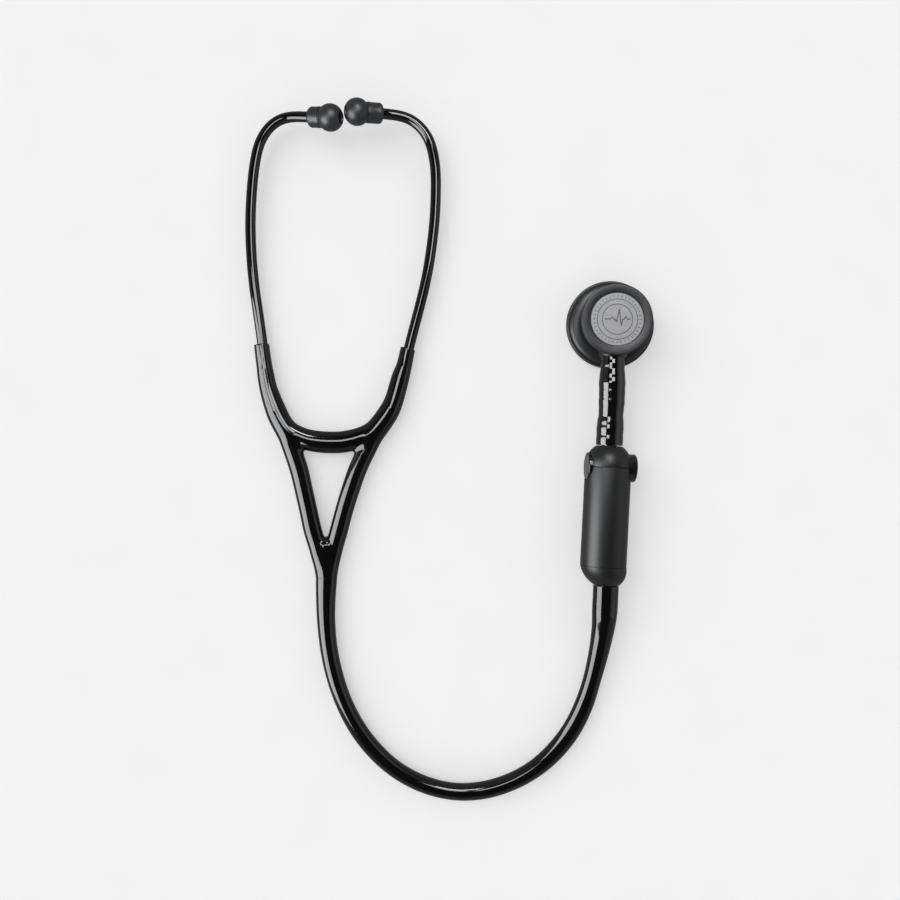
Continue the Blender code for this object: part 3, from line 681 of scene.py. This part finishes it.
def rough_moulding(limbs):
    """Plain tubes joined and remeshed: even faces for the fine surface to start from."""
    parts = []
    for limb in limbs:
        line = np.column_stack([limb.line, np.full(len(limb.line), TUBING_LEVEL)])[::3]
        radius = limb.radius[::3]
        height = np.minimum(TUBING_HEIGHT, radius + CROWN)
        parts.append(sweep("core", line, radius, height, sides=24))
    shape = bmesh.new()
    for part in parts:
        shape.from_mesh(part.data)
        bpy.data.objects.remove(part)
    # Press the ends of the arms back to the collars' square ends
    for side in ("left", "right"):
        line = ARM_LEG_ROUTES[side]
        way = (Vector(line[0]) - Vector(line[1])).normalized()
        end = Vector(line[1]) + way * (COLLAR_END[side] - line[1][1])
        near = [vert for vert in shape.verts if vert.co.y > -0.02]
        for vert in near:
            beyond = (vert.co.xy - end * MM).dot(way)
            if beyond > 0.0 and (vert.co.xy - end * MM).length < 0.02:
                vert.co.xy -= way * beyond
    data = bpy.data.meshes.new("moulding")
    shape.to_mesh(data)
    shape.free()
    item = bpy.data.objects.new("moulding", data)
    bpy.context.scene.collection.objects.link(item)
    remesh = item.modifiers.new("even", "REMESH")
    remesh.mode = "VOXEL"
    remesh.voxel_size = 0.45 * MM
    view = item.evaluated_get(bpy.context.evaluated_depsgraph_get())
    even = bpy.data.meshes.new_from_object(view)
    bpy.data.objects.remove(item)
    return even


def headset_tubing():
    """The moulded Y with its arms: one smooth surface, parted down the middle into a left and a right
    piece.
    """
    limbs = [Limb(ARM_LEG_ROUTES[side], ARM_LEG_RADII[side]) for side in ("left", "right")]
    limbs.append(Limb(CROSSBAR_ROUTE, CROSSBAR_RADII))
    limbs.append(Limb(NECK_ROUTE, NECK_RADII))
    even = rough_moulding(limbs)
    points = np.empty(len(even.vertices) * 3)
    even.vertices.foreach_get("co", points)
    points = points.reshape(-1, 3) / MM
    # Walk the even points onto the smooth surface
    for _ in range(5):
        for limb in limbs:
            limb.follow(points)
        points -= slope(points, limbs) * np.clip(moulding(points, limbs), -0.6, 0.6)[:, None]
    normals = slope(points, limbs)
    points[:, 2] = np.maximum(points[:, 2], 0.0)      # its thickest places lie flat on the table
    faces = [tuple(face.vertices) for face in even.polygons]
    bpy.data.meshes.remove(even)
    for side, sign in (("left", -1.0), ("right", 1.0)):
        own = [face for face in faces if sign * (points[list(face), 0].mean() - MIDDLE) > 0.0]
        used = sorted({corner for face in own for corner in face})
        order = {corner: index for index, corner in enumerate(used)}
        item = mesh_object(side + "_headset_tubing", points[used],
                           [tuple(order[corner] for corner in face) for face in own])
        item.data.shade_smooth()
        item.data.normals_split_custom_set_from_vertices(normals[used])
        dress(item, "black_pvc")
        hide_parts(side + "_arm_tube", "headset_yoke")
        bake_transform(item)


def hinge(name):
    """A joint's point (None for a slide) and axis from the frame."""
    joint = next(item for item in frame["joints"] if item["name"] == name)
    return joint.get("pos_m"), joint["axis"]


# ---------------------------------------------------------------- eartubes and eartips

EARTUBE_ROUTES = {
    "left": [(-98.25, -5.5, 4.7), (-99.35, 5.0, 4.7), (-101.7, 22.0, 4.9), (-103.5, 34.6, 5.2),
             (-104.8, 47.2, 5.5), (-105.5, 59.9, 5.8), (-105.6, 72.6, 6.2), (-104.9, 85.3, 6.6),
             (-103.6, 98.0, 7.1), (-101.3, 109.5, 7.7), (-98.5, 115.7, 8.1), (-94.6, 120.8, 8.6),
             (-89.0, 124.2, 9.2), (-82.1, 125.0, 10.2), (-75.0, 124.1, 12.0), (-71.0, 123.5, 13.4)],
    "right": [(-24.15, -6.5, 4.7), (-21.7, 4.5, 4.7), (-16.7, 23.7, 4.9), (-13.6, 36.0, 5.2),
              (-11.1, 48.6, 5.5), (-9.3, 61.1, 5.8), (-8.0, 73.8, 6.2), (-7.5, 86.5, 6.6),
              (-7.7, 99.2, 7.1), (-10.0, 111.3, 7.7), (-13.0, 117.2, 8.1), (-17.2, 121.8, 8.6),
              (-22.4, 124.8, 9.2), (-28.4, 125.8, 10.2), (-35.0, 125.8, 12.0), (-39.0, 125.6, 13.4)]}
# Each tip's base and the way that it points
TIP_BASES = {"left": ((-75.4, 124.1, 12.0), (12.7, -1.9, 4.5)),
             "right": ((-34.6, 125.8, 12.0), (-12.7, -0.7, 4.5))}


def eartube(side):
    """Plated tube from inside the collar to inside the eartip."""
    line = spline(EARTUBE_ROUTES[side], 1.5, 12)
    width = np.full(len(line), EARTUBE_RADIUS)
    item = sweep(side + "_eartube_skin", line, width, width, sides=40)
    finish_piece(item, "black_metal", "black_metal", side + "_arm", side + "_eartube")


def eartip(side):
    """Soft tip: a ball with a pierced front on a sleeve, with a moulded line between the two."""
    ball, sleeve, front = BALL_RADIUS, SLEEVE_RADIUS, TIP_LENGTH
    centre, start = front - 5.8, SLEEVE_START[side]
    bulge = arc(ball, (0.0, centre), 64.0, -41.0, 28)
    bulge = [(radius, centre + (height - centre) * 0.98) for radius, height in bulge]
    waist = bulge[-1]
    bore = [(2.0, front - 6.5), (2.3, front - 3.0), (2.4, front - 0.8), (2.55, front + 0.05),
            (2.8, front + 0.3)]
    outline = bore + bulge
    outline += [(waist[0] - 0.30, waist[1] - 0.25), (waist[0] - 0.30, waist[1] - 0.50),
                (waist[0] + 0.02, waist[1] - 0.70), (sleeve + 0.10, waist[1] - 1.6),
                (sleeve, waist[1] - 2.4), (sleeve - 0.06, 5.0), (sleeve - 0.02, start + 2.0)]
    outline += arc(1.9, (sleeve - 1.9, start + 1.9), 0.0, -90.0, 10)
    outline += [(2.95, start), (2.95, 4.4)]
    base, way = TIP_BASES[side]
    item = turned(side + "_eartip_skin", outline, along(base, way), 96)
    finish_piece(item, "grey_silicone", "grey_silicone", side + "_arm", side + "_eartip")


# ---------------------------------------------------------------- short tube

TUBE_ROUTE = [(84.80, -0.3, 13.5), (84.73, -5.0, 13.5), (84.64, -10.0, 13.5), (84.55, -15.0, 13.5),
              (84.44, -21.0, 13.4), (84.28, -26.0, 13.1), (84.08, -31.0, 12.5), (83.84, -36.0, 12.1),
              (83.53, -42.0, 12.0), (83.26, -47.6, 12.0)]
TUBE_RADII = [5.9, 6.1, 6.6, 6.8, 6.85, 6.6, 6.4, 6.85, 7.05, 7.0]


def short_tube():
    """Soft tube between the chestpiece and the module, stretched over a barb at each end."""
    line = spline(TUBE_ROUTE, 0.8, 10)
    radius = resample(TUBE_RADII, line, TUBE_ROUTE)
    reach = distances(line)
    radius = radius + 0.10 * np.sin(reach * 0.55) + 0.06 * np.sin(reach * 1.3 + 1.0)
    lip = np.minimum(reach, reach[-1] - reach)
    radius = radius - 0.4 * np.clip(1.0 - lip / 0.8, 0.0, 1.0) ** 2
    item = sweep("short_tube", line, radius, radius * 0.97, sides=64)
    finish_piece(item, "stretched_pvc", "black_pvc", "tubing_and_module", "chestpiece_tube")


# ---------------------------------------------------------------- chestpiece

def head_place(height=0.0):
    """Frame at the head's centre, with local +Z up and local -Y along the stem."""
    place, axis = hinge("head_swivel")
    back = -Vector(axis)
    side = back.cross(Vector((0.0, 0.0, 1.0))).normalized()
    turn = Matrix((side, back, (0.0, 0.0, 1.0))).transposed().to_4x4()
    return Matrix.Translation((place[0], place[1], height * MM)) @ turn


def on_stem():
    """Frame on the stem's axis, with local +Z from the head's centre towards the tube."""
    return head_place(STEM_LEVEL) @ along((0, 0, 0), (0, -1, 0))


def head_body():
    """Hourglass body: small bell above, large bell below, with a boss for the stem."""
    outline = [(15.4, 22.6), (16.8, 22.6), (16.9, 22.3), (16.9, 20.2), (16.6, 19.6), (16.3, 18.8)]
    outline += arc(6.2, (17.6, 13.4), 112.0, 245.0, 26)
    outline += [(17.6, 8.2), (20.6, 7.5), (21.8, 6.6), (22.1, 5.9), (21.9, 5.1), (21.7, 4.9), (21.7, 2.5),
                (20.2, 2.5), (19.0, 3.2), (1.6, 4.8), (1.6, 20.6), (14.8, 22.0)]
    body = turned("head_skin", outline, head_place(), 160, closed=True)
    boss = turned("boss", [(0.0, 18.4), (6.1, 18.4), (6.9, 18.0), (7.2, 17.2), (7.2, 2.0), (0.0, 2.0)],
                  on_stem(), 96)
    union = body.modifiers.new("boss", "BOOLEAN")
    union.operation = "UNION"
    union.object = boss
    mouth = turned("mouth", [(0.0, 30.0), (6.05, 30.0), (6.05, 8.0), (0.0, 8.0)], on_stem(), 96)
    cut(body, mouth)
    bpy.data.objects.remove(boss)
    finish_piece(body, "smoked_steel", "smoked_steel", "chest_head", "head_body")


def adult_rim():
    """Wide ring around the large membrane, with a fine groove in its wall."""
    rim = ADULT_RIM_RADIUS
    outline = [(22.2, 4.6), (22.6, 4.6)] + arc(0.55, (rim - 0.55, 4.05), 90.0, 0.0, 6)
    outline += [(rim, 3.3), (rim - 0.12, 3.15), (rim - 0.12, 2.9), (rim, 2.75)]
    outline += arc(0.65, (rim - 0.65, 0.65), 0.0, -90.0, 6)
    outline += [(20.2, 0.0), (19.9, 0.3), (20.1, 0.8), (22.05, 0.8), (22.05, 4.4)]
    item = turned("adult_rim_skin", outline, head_place(), 200, closed=True)
    finish_piece(item, "smoked_steel", "smoked_steel", "chest_head", "adult_rim")


def small_rim():
    """Flat ring around the small membrane, with a fine groove in its wall."""
    rim, top = SMALL_RIM_RADIUS, SMALL_RIM_TOP
    outline = [(13.7, top - 0.35), (13.8, top - 0.08), (14.0, top), (17.5, top - 0.05)]
    outline += arc(0.5, (rim - 0.5, top - 0.55), 80.0, 0.0, 8)
    outline += [(rim, 21.6), (rim - 0.15, 21.4), (rim - 0.15, 21.1), (rim, 20.9)]
    outline += [(rim - 0.05, 20.4), (17.8, 20.1), (17.15, 20.1), (17.15, top - 0.8), (13.7, top - 0.8)]
    item = turned("small_rim_skin", outline, head_place(), 200, closed=True)
    finish_piece(item, "smoked_steel", "smoked_steel", "chest_head", "paediatric_rim")


def membranes():
    """The small membrane on top and the large one that faces the table."""
    top = DISC_TOP
    outline = [(0.0, top), (DISC_RADIUS - 0.35, top)]
    outline += arc(0.3, (DISC_RADIUS - 0.3, top - 0.3), 90, 0, 4)
    outline += [(DISC_RADIUS, 23.8), (16.8, 23.8), (16.8, 23.2), (0.0, 23.2)]
    disc = turned("small_membrane", outline, head_place(), 160)
    finish_piece(disc, "grey_membrane", "grey_membrane", "paediatric_membrane", "paediatric_diaphragm")
    outline = [(0.0, 1.8), (21.6, 1.8), (21.6, 1.3), (19.6, 1.3), (19.4, 1.1), (19.0, 1.15), (18.6, 1.1),
               (0.0, 1.1)]
    large = turned("large_membrane", outline, head_place(), 160)
    finish_piece(large, "black_membrane", "black_membrane", "adult_membrane", "adult_diaphragm")


def printed_strokes(name, strokes, half_width):
    """Straight lines printed on the small membrane, each one a thin flat bar."""
    verts, faces = [], []
    for number, (start, end) in enumerate(strokes):
        start, end = Vector(start), Vector(end)
        way = (end - start).normalized()
        side = Vector((-way.y, way.x)) * half_width
        top = PRINT_TOP + 0.004 * (number % 2)
        first = len(verts)
        for level in (top, top - PRINT_DEPTH):
            verts += [(x, y, level) for x, y in (start - side, end - side, end + side, start + side)]
        faces += [[first + i for i in face] for face in ((0, 1, 2, 3), (7, 6, 5, 4), (0, 4, 5, 1),
                                                         (1, 5, 6, 2), (2, 6, 7, 3), (3, 7, 4, 0))]
    item = mesh_object(name, verts, faces, head_place())
    finish_piece(item, "membrane_print", "grey_membrane", "paediatric_membrane")


def disc_print():
    """Two plain rings, a dial of short strokes and a heartbeat line printed on the small membrane."""
    thin, bold, strokes = 0.20, 0.28, 36
    for name, radius in (("outer", 10.3), ("inner", 7.7)):
        outline = [(radius - thin, PRINT_TOP), (radius + thin, PRINT_TOP),
                   (radius + thin, PRINT_TOP - PRINT_DEPTH), (radius - thin, PRINT_TOP - PRINT_DEPTH)]
        ring = turned("disc_ring_" + name, outline, head_place(), 160, closed=True)
        finish_piece(ring, "membrane_print", "grey_membrane", "paediatric_membrane")
    angles = [math.tau * stroke / strokes for stroke in range(strokes)]
    outs = [Vector((math.cos(angle), math.sin(angle))) for angle in angles]
    printed_strokes("disc_dial", [(out * 11.3, out * 12.2) for out in outs], thin)
    beat = [(-6.6, 0.0), (-3.6, 0.0), (-2.7, 1.2), (-1.8, 0.0), (-1.1, 0.0), (-0.4, -1.6), (0.8, 5.2),
            (2.0, -3.4), (2.7, 0.0), (3.4, 0.0), (4.3, 1.5), (5.2, 0.0), (6.6, 0.0)]
    printed_strokes("disc_heartbeat", list(zip(beat, beat[1:])), bold)


def stem():
    """Polished shaft with its stop flange and hose barb."""
    outline = [(0.0, 38.0), (3.2, 38.0), (4.2, 35.0), (4.2, 28.0), (3.4, 25.5), (3.4, 17.0), (3.6, 16.7),
               (4.5, 16.7), (4.7, 16.5), (4.7, 14.8), (4.5, 14.6), (3.7, 14.6), (3.6, 14.3), (3.6, 9.6),
               (5.4, 9.6), (5.4, 8.3), (3.6, 8.3), (3.6, -4.5), (3.1, -5.0), (0.0, -5.0)]
    item = turned("stem_skin", outline, on_stem(), 96)
    finish_piece(item, "bright_steel", "bright_steel", "tubing_and_module", "stem")


def collar():
    """Ring in the head's mouth that keeps the stem in."""
    outline = [(3.95, 12.5), (4.2, 12.7), (5.35, 12.7), (5.65, 12.55), (5.8, 12.2), (5.8, 9.9), (3.95, 9.9)]
    item = turned("stem_collar_skin", outline, on_stem(), 96, closed=True)
    finish_piece(item, "smoked_steel", "smoked_steel", "chest_head", "stem_collar")


# ---------------------------------------------------------------- module

def module_place():
    """The module's frame: x across through the pads, y along it, z up."""
    rocker, upright = hinge("volume_rocker_tilt")
    across = Vector(hinge("power_button_press")[1])
    upright = Vector(upright)
    lengthwise = upright.cross(across)
    turn = Matrix((across, lengthwise, upright)).transposed().to_4x4()
    centre = Vector(rocker) - (across * ROCKER_PIVOT + lengthwise * PAD_PLACE) * MM
    return Matrix.Translation(centre) @ turn


def on_module(point=(0, 0, 0), direction=(0, 1, 0)):
    """Placement in the module's frame whose local +Z points along direction."""
    return module_place() @ along(point, direction)


def pad_cutters():
    """Two round cutters for the openings in which the pads sit."""
    inner_end, outer_end, radius = 7.9, 7.9 + 9.0, PAD_RADIUS + 0.3
    outline = [(0.0, outer_end), (radius, outer_end), (radius, inner_end), (0.0, inner_end)]
    return [turned("pad_opening", outline, on_module((0, PAD_PLACE, 0), (way, 0, 0)), 96)
            for way in (-1.0, 1.0)]


def dome(seam):
    """Outline of a hollow dome from its flat end to its seam with the shell."""
    outer, inner = MODULE_RADIUS, MODULE_RADIUS - MODULE_WALL
    flat_angle = math.degrees(math.acos(DOME_FLAT_RADIUS / outer))
    outside = arc(outer, (0.0, DOME_CENTRE), flat_angle - 2.0, 0.0, 24)
    rise = outside[0][1]
    bevel, hole = SEAM_BEVEL, 4.3
    edge = [(outer, seam + bevel)] + arc(bevel, (outer - bevel, seam + bevel), -20.0, -90.0, 3)
    inside = arc(inner, (0.0, DOME_CENTRE), 0.0, 58.0, 8)
    flat = [(hole, rise + 0.12), (DOME_FLAT_RADIUS - 0.5, rise + 0.12),
            (DOME_FLAT_RADIUS + 0.1, rise + 0.04)]
    return flat + outside + edge + [(inner, seam)] + inside + [(hole, inside[-1][1])]


def module_case():
    """Tubular shell and two domes, with fine seams between them."""
    outer, inner = MODULE_RADIUS, MODULE_RADIUS - MODULE_WALL
    top, bottom, bevel = UPPER_SEAM - SEAM_GAP, -DOME_CENTRE + SEAM_GAP, SEAM_BEVEL
    outline = [(inner, top)] + arc(bevel, (outer - bevel, top - bevel), 90.0, 0.0, 4)
    outline += arc(bevel, (outer - bevel, bottom + bevel), 0.0, -90.0, 4) + [(inner, bottom)]
    shell = turned("module_case", outline, on_module(), 128, closed=True)
    port_slot = mesh_box("port_slot", (9.6, 4.0, 6.0), (0.0, -16.0, -12.0))
    cut(shell, port_slot, *pad_cutters())
    finish_piece(shell, "module_plastic", "module_plastic", "tubing_and_module", "module_shell")
    upper = turned("module_upper_dome", dome(UPPER_SEAM + SEAM_GAP), on_module(), 128, closed=True)
    cut(upper, *pad_cutters())
    finish_piece(upper, "module_plastic", "module_plastic", "tubing_and_module", "module_upper_cap")
    lower = turned("module_lower_dome", dome(DOME_CENTRE + SEAM_GAP), on_module(direction=(0, -1, 0)), 128,
                   closed=True)
    rise = math.sqrt(MODULE_RADIUS ** 2 - DOME_FLAT_RADIUS ** 2)
    sideways = lower.matrix_world.inverted().to_3x3() @ (module_place().to_3x3() @ Vector((1, 0, 0)))
    for vert in lower.data.vertices:
        share = (vert.co.z / MM - DOME_CENTRE) / rise
        vert.co += sideways * (LOWER_OFFSET * share * MM)
    finish_piece(lower, "module_plastic", "module_plastic", "tubing_and_module", "module_lower_cap")


def mesh_box(name, size, centre):
    """Box with rounded edges, in the module's frame."""
    shape = bmesh.new()
    bmesh.ops.create_cube(shape, size=1.0)
    bmesh.ops.scale(shape, vec=Vector(size) * MM, verts=shape.verts)
    bmesh.ops.bevel(shape, geom=shape.edges[:], offset=0.9 * MM, segments=4, affect="EDGES")
    data = bpy.data.meshes.new(name)
    shape.to_mesh(data)
    shape.free()
    item = bpy.data.objects.new(name, data)
    item.matrix_world = module_place() @ Matrix.Translation(Vector(centre) * MM)
    bpy.context.scene.collection.objects.link(item)
    return item


def pad(name, node, way, face, body):
    """Round pad: polished wall, and a matt face set into it."""
    outline = [(0.0, face - 0.25), (PAD_RADIUS - 1.0, face - 0.25), (PAD_RADIUS - 0.9, face)]
    outline += arc(0.6, (PAD_RADIUS - 0.6, face - 0.6), 90.0, 0.0, 6)
    outline += [(PAD_RADIUS, PAD_BACK), (0.0, PAD_BACK)]
    place = on_module((0, PAD_PLACE, 0), (way, 0, 0))
    item = turned(name + "_wall", outline, place, 96)
    finish_piece(item, "pad_plastic", "pad_plastic", body, node)
    inset = PAD_RADIUS - 1.05
    outline = [(0.0, face + 0.1), (inset * 0.5, face + 0.08), (inset * 0.85, face + 0.02),
               (inset, face - 0.06), (inset, face - 0.24), (0.0, face - 0.24)]
    rubber = turned(name + "_face", outline, place, 96)
    finish_piece(rubber, "pad_rubber", "pad_plastic", body)


def pads():
    pad("power_pad", "power_button", -1.0, POWER_PAD_FACE, "power_key")
    pad("volume_pad", "volume_rocker", 1.0, VOLUME_PAD_FACE, "volume_key")


# ---------------------------------------------------------------- the rest

def inner_parts():
    """Carried-over nodes take the fine material of their own slot."""
    for node in frame["nodes"].values():
        for index in range(len(node.material_slots)):
            name = node.material_slots[index].material.name.split(".")[0]
            node.material_slots[index].material = LOOKS[name]


with open("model.json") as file:
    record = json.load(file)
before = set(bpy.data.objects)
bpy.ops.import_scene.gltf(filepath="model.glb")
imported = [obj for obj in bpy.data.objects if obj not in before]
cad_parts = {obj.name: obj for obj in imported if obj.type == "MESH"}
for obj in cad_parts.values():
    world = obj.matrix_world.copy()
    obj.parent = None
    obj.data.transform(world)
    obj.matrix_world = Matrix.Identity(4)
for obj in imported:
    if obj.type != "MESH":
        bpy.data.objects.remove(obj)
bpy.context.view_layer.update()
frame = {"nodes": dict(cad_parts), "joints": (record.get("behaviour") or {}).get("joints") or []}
bpy.context.scene.view_settings.view_transform = "Standard"
MAKERS = (black_pvc, stretched_pvc, black_metal, grey_silicone, module_plastic, pad_plastic, pad_rubber,
          smoked_steel, bright_steel, grey_membrane, membrane_print, black_membrane, green_board,
          battery_foil, table_paper, studio_wall)
LOOKS = {}
for maker in MAKERS:
    # The pack's plain material of the same name steps aside for the fine one
    for known in [item for item in bpy.data.materials if item.name == maker.__name__]:
        known.name = maker.__name__ + ".plain"
    LOOKS[maker.__name__] = maker()
camera()
hose()
light()
table()
inner_parts()
headset_tubing()
for side in ("left", "right"):
    eartube(side)
    eartip(side)
short_tube()
head_body()
adult_rim()
small_rim()
membranes()
disc_print()
stem()
collar()
module_case()
pads()
